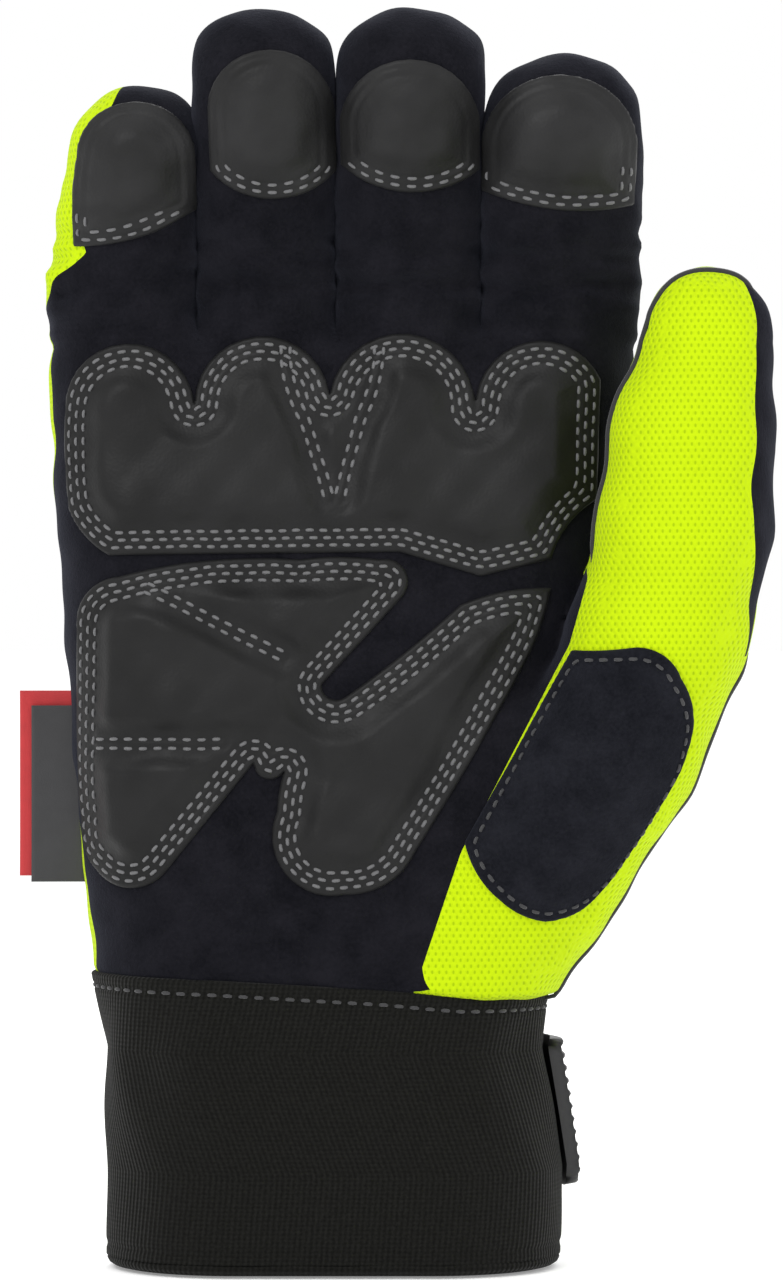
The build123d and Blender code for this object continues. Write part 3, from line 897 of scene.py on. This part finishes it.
# ---------------------------------------------------------------- outlines seen from the palm
UPPER_PAD = [(-51.6, 152, 1), (-52.4, 172, 0.5), (-26, 173, 12.5), (1, 175, 12.5), (30, 172, 13.5),
             (55, 178, 10.5), (54.2, 154, 0), (45, 142, -1.5), (31, 138.6, 0), (15, 143.4, 0),
             (-43, 142.8, 0)]
UPPER_CHANNELS = ([(-8, 185, 0), (-4, 170, -1), (1, 154, 0)],
                  [(11, 185, 0), (7, 170, 1), (3, 154, 0)])
LOWER_PAD = [(-50, 128, 0), (-41, 138.6, 3), (-5, 142.0, 1.5), (11, 142.0, 0.5), (15, 134, 3.5),
             (-0.6, 117, 0), (4, 114.6, -1.5), (27, 133, -0.5), (45, 136.4, 1.0), (39, 120, 0.7),
             (18, 84, 0.5), (4, 75.6, 2.5), (-9.4, 92, 6.5), (-8, 100, 0.3), (-14, 101.6, 2.4),
             (-32, 79.4, 0), (-46, 80, 3.0), (-50, 90, 1.5), (-50.6, 104, 0.3)]
LOWER_CHANNELS = ([(-46, 105.4, 0), (-20, 105.4, 0)], [(-36, 136.6, 0), (-8, 122.6, 0)])
SADDLE = [(27.8, 86, 0), (35, 74.5, -1.2), (44, 70.4, -0.8), (55, 74.5, -0.8), (68, 90, -1.2),
          (72.6, 104, -0.9), (70.2, 118.5, -1.8), (61, 124.6, -1.8), (49.2, 124.0, 0.3),
          (38, 104, 0)]
KNUCKLE_GUARD = [(54, 158, 3), (55, 178, 0), (-50, 176, 4), (-50, 156, 0), (2, 150, 3)]
REFLECTIVE_STRIP = [(46, 118, 0), (46, 126, 0), (-44, 120, 0), (-44, 112, 0)]
TIP_CAPS = {
    "little": [(-49.4, 204.4, 2.5), (-48.6, 222, 0.6), (-27.2, 222, 10.5), (-27.0, 212, 0)],
    "ring": [(-21.6, 219, 6.0), (-22.0, 231, 0), (0.6, 231, 11), (0.8, 219.5, 0)],
    "middle": [(4.6, 220.5, 5.5), (4.4, 229, 0), (29.4, 229, 11), (29.4, 219.5, 0)],
    "index": [(32.8, 215.5, 3.0), (32.8, 225, 0), (60.6, 225, 12.5), (60.2, 212.5, 0)],
}
ROWS = (1.5, 3.0, 4.5)     # stitch rows, in from the edge of a pad
CAP_ROWS = (1.3, 2.8)
GUARD_ROWS = (1.5, 3.0)
CAP_STITCH_RISE = {"little": 7.0, "ring": 2.0, "middle": 2.0, "index": 8.0}


def rounded_edge(d, thickness, width=0.9):
    t = np.clip(d / width, 0, 1)
    return thickness * np.sqrt(np.clip(1 - (1 - t) ** 2, 0, 1))


def grooves(d, rows, depth=0.28, width=0.55):
    return sum(depth * np.exp(-((d - row) / width) ** 2) for row in rows)


def pad_height(channels, rise, thickness=1.0):
    """Leather with rows of stitches round its edge and foam islands between channels."""
    lines = [route(c) for c in channels]

    def height(d, x, z):
        island = step(d, 5.0, 9.5)
        sunk = 0
        for line in lines:
            away = distance_to(line, x, z, closed=False)
            island = island * step(away, 1.8, 5.5)
            sunk = sunk + 0.25 * np.exp(-((away - 0.9) / 0.5) ** 2) * step(d, 2.0, 4.0)
        crumple = 0.12 * np.sin(0.31 * x + 0.23 * z) * np.sin(0.27 * z - 0.15 * x)
        return rounded_edge(d, thickness) - grooves(d, ROWS) - sunk + island * (rise + crumple)

    return height


def beside(channel, gap=0.9):
    """Two lines, one each side of a channel."""
    line = route(channel)
    direction = np.gradient(line, axis=0)
    direction /= np.linalg.norm(direction, axis=1, keepdims=True)
    left = np.stack([-direction[:, 1], direction[:, 0]], 1)
    return [line + left * gap, line - left * gap]


def make_palm_patches():
    """Two padded leather patches with their stitches, and the saddle patch."""
    for name, corners, channels, rise, field in (
            ("upper_palm_pad", UPPER_PAD, UPPER_CHANNELS, 1.7, thumbless_field),
            ("lower_palm_pad", LOWER_PAD, LOWER_CHANNELS, 1.9, glove_field)):
        patch = Patch(corners, pad_height(channels, rise), 0.55, field)
        pad = patch.build(name, LEATHER)
        finish(pad, "hand", "pad_leather", name + "_cover", name + "_foam")
        lines = patch.rows(ROWS)
        for channel in channels:
            lines += beside(channel)
        thread = stitch_mesh(name + "_stitches", lines, patch.lifted, THREAD)
        finish(thread, "hand", "pad_leather")

    def saddle_height(d, x, z):
        return rounded_edge(d, 1.3, 1.3) - grooves(d, (2.2,), 0.2, 0.7) + 0.7 * step(d, 3, 14)

    patch = Patch(SADDLE, saddle_height, 0.6)
    finish(patch.build("thumb_saddle", SADDLE_SUEDE), "hand", "suede", "thumb_saddle_patch")
    thread = stitch_mesh("thumb_saddle_stitches", patch.rows((1.9,)), patch.lifted,
                         BLACK_THREAD)
    finish(thread, "hand", "suede")


def make_tip_caps():
    """Leather caps on the palm side of the fingertips, with two rows of stitches below."""
    def height(d, x, z):
        return rounded_edge(d, 0.8) - grooves(d, CAP_ROWS) + 0.9 * step(d, 3.4, 8.0)

    for name, corners in TIP_CAPS.items():
        def field(p, finger=name):
            return finger_field(p, finger) + ripple(p)

        patch = Patch(corners, height, 0.5, field, finger=name)
        cap = patch.build(name + "_cap", CAP_LEATHER)
        bend_finger(cap, name, "pad_leather", name + "_tip_cap")
        limit = min(corners[0][1], corners[-1][1]) + CAP_STITCH_RISE[name]
        kept = []
        for line in patch.rows(CAP_ROWS):
            low = line[:, 1] < limit
            breaks = np.flatnonzero(np.diff(low.astype(int))) + 1
            kept += [part for part in np.split(line, breaks) if part[0, 1] < limit
                     and len(part) > 8]
        thread = stitch_mesh(name + "_cap_stitches", kept, patch.lifted, THREAD)
        bend_finger(thread, name, "pad_leather")


def make_back_details():
    """Knuckle guard with foam ribs, and the reflective strip, on the back of the hand."""
    ribs = (-25.5, 3.0, 32.0)

    def guard_height(d, x, z):
        island = step(d, 4.2, 8.0)
        for rib in ribs:
            island = island * step(np.abs(x - rib), 1.4, 4.5)
        return rounded_edge(d, 1.0) - grooves(d, GUARD_ROWS) + 1.8 * island

    patch = Patch(KNUCKLE_GUARD, guard_height, 0.6, rear=True)
    guard = patch.build("knuckle_guard", LEATHER)
    finish(guard, "hand", "pad_leather", "knuckle_guard_cover", "knuckle_guard_foam")
    lines = patch.rows(GUARD_ROWS)
    for rib in ribs:
        lines += [np.array([(rib + s, 155.0), (rib + s, 175.0)]) for s in (-0.8, 0.8)]
    finish(stitch_mesh("knuckle_stitches", lines, patch.lifted, THREAD), "hand", "pad_leather")

    def tape_height(d, x, z):
        return rounded_edge(d, 0.45, 0.4) - grooves(d, (1.0,), 0.1, 0.4)

    patch = Patch(REFLECTIVE_STRIP, tape_height, 0.8, rear=True)
    tape = patch.build("reflective_tape", REFLECTIVE)
    finish(tape, "hand", "reflective_tape", "reflective_strip")
    thread = stitch_mesh("tape_stitches", patch.rows((1.0,)), patch.lifted, THREAD)
    finish(thread, "hand", "reflective_tape")


# ---------------------------------------------------------------- cuff and strap
CUFF_Z = (-4.0, 20.0, 44.0, 62.0)
CUFF_LEFT = (-43.0, -43.4, -44.0, -46.8)
CUFF_RIGHT = (46.0, 47.0, 43.4, 44.8)
CUFF_DEPTH = (50.0, 50.0, 48.0, 50.0)


def cuff_point(s, z, out):
    """Point on the cuff. s runs round it from the middle of the back towards the thumb."""
    left, right = np.interp(z, CUFF_Z, CUFF_LEFT), np.interp(z, CUFF_Z, CUFF_RIGHT)
    radius = np.interp(z, CUFF_Z, CUFF_DEPTH) / 2
    x0, x1 = left + radius, right - radius
    flat = x1 - x0
    turn = math.pi * radius
    s = np.mod(s - x0, 2 * (flat + turn))
    x = x0 + np.clip(s, 0, flat) - np.clip(s - flat - turn, 0, flat)
    angle = sum(np.clip((s - at) / radius, 0, math.pi) for at in (flat, 2 * flat + turn))
    grown = radius + out
    return np.stack([x + grown * np.sin(angle), grown * np.cos(angle), z + 0 * s], -1)


CUFF_ROUND = 2 * (CUFF_RIGHT[1] - CUFF_LEFT[1] - CUFF_DEPTH[1]) + math.pi * CUFF_DEPTH[1]
CUFF_PLACES = np.linspace(0, CUFF_ROUND, 460, endpoint=False)
CUFF_MIDDLE_Z = 30.0
BAND_BOTTOM_Z = 2.4
STITCHES_DOWN = 2.2        # the stitches run this far below the top of the cuff


def cuff_wave(s, z):
    """Soft bunching of the elastic, stronger near its gathered waist."""
    waist = np.exp(-((z - 42) / 9.0) ** 2)
    wave = 0.30 * np.sin(0.33 * s + 1.2 * np.sin(0.12 * z)) * (0.4 + waist)
    wave += 0.22 * np.sin(0.21 * z + 0.8 * np.sin(0.05 * s))
    return wave - 0.5 * waist


def cuff_sheet(name, rings, material, inward=False, laid=True):
    """Cloth round the cuff, from rings of height, reach and reach when laid out flat."""
    points, flat = [], []
    for z, out, flat_out in rings:
        z = z + 0 * CUFF_PLACES
        points.append(cuff_point(CUFF_PLACES, z, out))
        flat.append(np.stack([CUFF_PLACES, flat_out + 0 * z, z], 1))
    faces = grid_faces(len(rings), len(CUFF_PLACES), True)
    return make(name, np.concatenate(points), faces[:, ::-1] if inward else faces, material,
                cloth=np.concatenate(flat) if laid else None)


def cuff_top_at(s):
    """Height of the cuff's upper edge at the given places round it."""
    return cuff_top(cuff_point(s, np.full(s.shape, CUFF_MIDDLE_Z), 0)[:, 0])


def make_cuff():
    """Elastic cuff band with a rolled top edge, a bound mouth and a fleece inside."""
    top = cuff_top_at(CUFF_PLACES)
    levels = [(t, 0.9) for t in np.linspace(0, 1, 90)]
    levels += [(1.0 + 0.012 * math.sin(a), 0.9 - (1 - math.cos(a)))
               for a in np.linspace(0.2, math.pi * 0.75, 6)]
    rings = []
    for t, out in levels:
        z = BAND_BOTTOM_Z + t * (top - BAND_BOTTOM_Z)
        hem = -0.35 * np.exp(-((top - z - STITCHES_DOWN) / 0.5) ** 2)
        bottom = -0.3 * np.exp(-((z - 4.6) / 0.7) ** 2)
        rings.append((z, out + cuff_wave(CUFF_PLACES, z) + hem + bottom, out))
    finish(cuff_sheet("cuff_band_knit", rings, RIB),
           "hand", "cuff_knit", "cuff_band", "wrist_elastic")

    rings = [(1.75 - 1.75 * math.cos(a), *[2.9 * math.sin(a) - 1.9] * 2)
             for a in np.linspace(0.15, 2 * math.pi + 0.15, 15)]
    finish(cuff_sheet("cuff_hem", rings, RIB, inward=True), "hand", "binding_tape", "cuff_binding")

    rings = [(z, 0.4 * cuff_wave(CUFF_PLACES, z) - 4.2, 0) for z in np.linspace(1.5, 57, 40)]
    finish(cuff_sheet("cuff_fleece", rings, LINING, inward=True, laid=False),
           "hand", "fleece_lining", "cuff_lining")

    def on_cuff(s, down):
        z = cuff_top_at(s) - down
        p = cuff_point(s, z, 0.6 + cuff_wave(s, z))
        normal = p - cuff_point(s, z, -1.0)
        return p, normal / np.linalg.norm(normal, axis=1, keepdims=True)

    line = np.stack([CUFF_PLACES, np.full(CUFF_PLACES.shape, STITCHES_DOWN)], 1)
    thread = stitch_mesh("cuff_stitches", [line], on_cuff, BLACK_THREAD, 2.2, 0.9)
    finish(thread, "hand", "cuff_knit")


def wrapped(name, s0, s1, z0, z1, low, thickness, material, ribs=0.0, corner=2.5):
    """Closed strip of cloth or rubber wrapped round the cuff, with rounded edges."""
    across = np.linspace(s0, s1, max(int((s1 - s0) / 0.6), 8))
    up = np.linspace(z0, z1, max(int((z1 - z0) / 0.5), 8))
    place = np.stack(np.meshgrid(across, up), -1)
    middle = np.array((s0 + s1, z0 + z1)) / 2
    half = np.array((s1 - s0, z1 - z0)) / 2
    past = np.clip(np.abs(place - middle) - (half - corner), 0, None)
    overshoot = np.linalg.norm(past, axis=-1)
    pull = np.where(overshoot > corner, corner / np.maximum(overshoot, 1e-6), 1.0)
    place -= np.sign(place - middle) * past * (1 - pull)[..., None]
    inner = (half - np.abs(place - middle)).min(-1)
    d = np.minimum(corner - np.minimum(overshoot, corner), inner)
    s, z = place[..., 0], place[..., 1]
    top = low + rounded_edge(d, thickness, 0.7) - 0.12 * np.exp(-((d - 1.6) / 0.4) ** 2)
    if ribs:
        top = top + ribs * np.maximum(np.sin(2 * math.pi * z / 2.6), -0.3) * step(d, 0.2, 1.5)
    s, z, top = s.ravel(), z.ravel(), top.ravel()
    laid = np.stack([s, top, z], 1)
    return make_sheet(name, cuff_point(s, z, top), cuff_point(s, z, low), len(up), len(across),
                      material, cloth=np.concatenate([laid, laid]))


STRAP_START_S = -23.5
STRAP_Z = (18.0, 43.0)
TAB_Z = (15.5, 46.0)


def make_strap():
    """Loop pile and anchor on the cuff, and the strap that peels off with its rubber tab."""
    z0, z1 = STRAP_Z
    loop = wrapped("loop_pile", -20, 36, z0, z1, 0.6, 0.9, PILE)
    finish(loop, "hand", "hook_loop", "loop_patch")
    anchor = wrapped("strap_sewn_end", -37, STRAP_START_S - 0.4, z0, z1, 0.6, 3.1, WEBBING)
    finish(anchor, "hand", "webbing", "strap_anchor")
    hook = wrapped("hook_pile", -8, 34, z0 + 1.5, z1 - 1.5, 1.75, 0.8, PILE)
    finish(hook, "closure_strap", "hook_loop", "strap_hook_pad")
    web = wrapped("strap_web", STRAP_START_S, 38.5, z0, z1, 2.6, 1.3, WEBBING)
    finish(web, "closure_strap", "webbing", "strap_webbing")
    tab = wrapped("strap_tab", 37, 61, *TAB_Z, 1.75, 2.6, RUBBER, ribs=0.45, corner=4.0)
    finish(tab, "closure_strap", "moulded_rubber", "strap_pull_tab")


# ---------------------------------------------------------------- side label and thumb piping
def label_ply(name, left, z0, z1, y, thickness, material):
    """Thin folded cloth standing out from the side seam, with a gentle curl."""
    rows, columns = 60, 26
    u, v = np.meshgrid(np.linspace(0, 1, columns), np.linspace(0, 1, rows))
    z = z0 + v * (z1 - z0)
    right = -48.4 - 2.0 * v
    x = right + (left - right) * u
    curl = 0.7 * np.sin(math.pi * v) * u - 0.5 * u * u + 0.15 * np.sin(9 * v) * u
    edge = np.minimum(np.minimum(u, 1 - u) * (right - left), np.minimum(v, 1 - v) * (z1 - z0))
    half = thickness / 2 * np.clip(edge / 0.25, 0.2, 1)
    top, under = (np.stack([x, y + curl + side, z], -1).reshape(-1, 3) for side in (-half, half))
    return make_sheet(name, top, under, rows, columns, material)


def make_label():
    """Folded side label: dark front ply over a red ply that shows along its edges."""
    front = label_ply("label_front_ply", -59.4, 77.2, 112.8, -0.9, 0.5, LABEL_BLACK)
    back = label_ply("label_back_ply", -61.8, 78.4, 115.8, 0.3, 0.6, LABEL_RED)
    for piece, slot_name, node, size in ((front, "label_black", "label_front", (0.011, 0.0355)),
                                         (back, "label_red", "label_back", (0.0134, 0.0374))):
        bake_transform(piece)
        name_slot(piece, slot_name, [node])


def tube(name, line, radius, material, sides=10):
    """Round piping along a line of points."""
    line = np.asarray(line)
    along = np.gradient(line, axis=0)
    along /= np.linalg.norm(along, axis=1, keepdims=True)
    first = np.cross(along, (0.3, 0.9, 0.1))
    first /= np.linalg.norm(first, axis=1, keepdims=True)
    second = np.cross(along, first)
    turn = np.linspace(0, 2 * math.pi, sides, endpoint=False)
    from_end = np.minimum(np.arange(len(line)), np.arange(len(line))[::-1])
    radius = radius * np.minimum(1, 0.15 + 0.25 * from_end)[:, None, None]
    rings = line[:, None] + radius * (first[:, None] * np.cos(turn)[None, :, None]
                                      + second[:, None] * np.sin(turn)[None, :, None])
    return make(name, rings.reshape(-1, 3), grid_faces(len(line), sides, True), material)


def thumb_centres(heights):
    """Points on the thumb's centreline at the given heights, and the radii there."""
    *centre, radius = [along_chain(heights, THUMB_CHAIN, column) for column in range(4)]
    return np.stack(centre, 1), radius[:, None]


def make_piping():
    """Piping up the inner edge of the thumb and over its tip, and down its root."""
    side, rear, along = thumb_frame()
    centres, radii = thumb_centres(np.linspace(139, 184, 50))
    turn = np.linspace(-math.pi / 2, math.radians(38), 40)[1:, None]
    over = THUMB_CHAIN[-1][:3] + 12.4 * (side * np.sin(turn) + along * np.cos(turn))
    line = np.concatenate([centres - side * radii, over]) - rear * 3.2
    line = settle(lambda p: thumb_field(p) + ripple(p), line)
    bend_thumb(tube("thumb_piping_cord", line, 0.7, PIPING), "binding_tape", "thumb_piping")

    centres, radii = thumb_centres(np.linspace(128, 58, 60))
    line = settle(glove_field, centres + np.array((0.97, 0.0, -0.25)) * radii, 5)
    finish(tube("thumb_root_piping", line, 0.7, PIPING), "hand", "binding_tape")


# ---------------------------------------------------------------- stage
def make_stage():
    """Pale floor, white surroundings, soft lights, and the camera."""
    wide = 60000
    points = [(x * wide, y * wide, -0.4) for x, y in ((-1, -1), (1, -1), (1, 1), (-1, 1))]
    material = bpy.data.materials.new("stage")
    material.use_nodes = True
    shader = material.node_tree.nodes["Principled BSDF"]
    set_inputs(shader, Base_Color=(0.9, 0.9, 0.9, 1), Roughness=0.9,
               Emission_Color=(1, 1, 1, 1), Emission_Strength=0.25)
    make("floor", np.array(points), np.array([(0, 1, 2), (0, 2, 3)]), material, False)

    world = bpy.data.worlds.new("studio")
    bpy.context.scene.world = world
    world.use_nodes = True
    set_inputs(world.node_tree.nodes["Background"], Color=(1, 1, 1, 1), Strength=1.0)

    def area(name, place, size, power):
        """Rectangular lamp aimed at the middle of the glove."""
        light = bpy.data.lights.new(name, "AREA")
        light.shape = "RECTANGLE"
        light.size, light.size_y = size
        light.energy = power
        lamp = bpy.data.objects.new(name, light)
        lamp.location = place
        direction = np.array((0.01, 0, 0.13)) - np.array(place)
        yaw = math.atan2(direction[1], direction[0]) - math.pi / 2
        pitch = math.atan2(direction[2], math.hypot(direction[0], direction[1]))
        lamp.rotation_euler = (math.pi / 2 + pitch, 0, yaw)
        bpy.context.scene.collection.objects.link(lamp)

    area("key", (-0.55, -1.0, 0.95), (0.7, 0.7), 8.5)
    area("fill", (0.9, -0.8, 0.35), (0.6, 0.9), 2.5)
    area("rim", (0.2, 0.9, 0.8), (0.8, 0.5), 5)

    camera = bpy.data.cameras.new("camera")
    camera.sensor_fit = "VERTICAL"
    camera.sensor_height = 24.0
    view_height = 0.256        # metres of the glove's front that fill the picture
    distance = 1.15
    front = 0.012
    camera.lens = camera.sensor_height * (distance - front) / view_height
    eye = bpy.data.objects.new("camera", camera)
    eye.location = (0.0133, -distance, 0.126)
    eye.rotation_euler = (math.pi / 2, 0, 0)
    camera.clip_end = 200
    bpy.context.scene.collection.objects.link(eye)
    bpy.context.scene.camera = eye
    bpy.context.scene.view_settings.view_transform = "Standard"


make_stage()
make_hand_panels()
make_palm_patches()
make_tip_caps()
make_back_details()
make_cuff()
make_strap()
make_label()
make_piping()
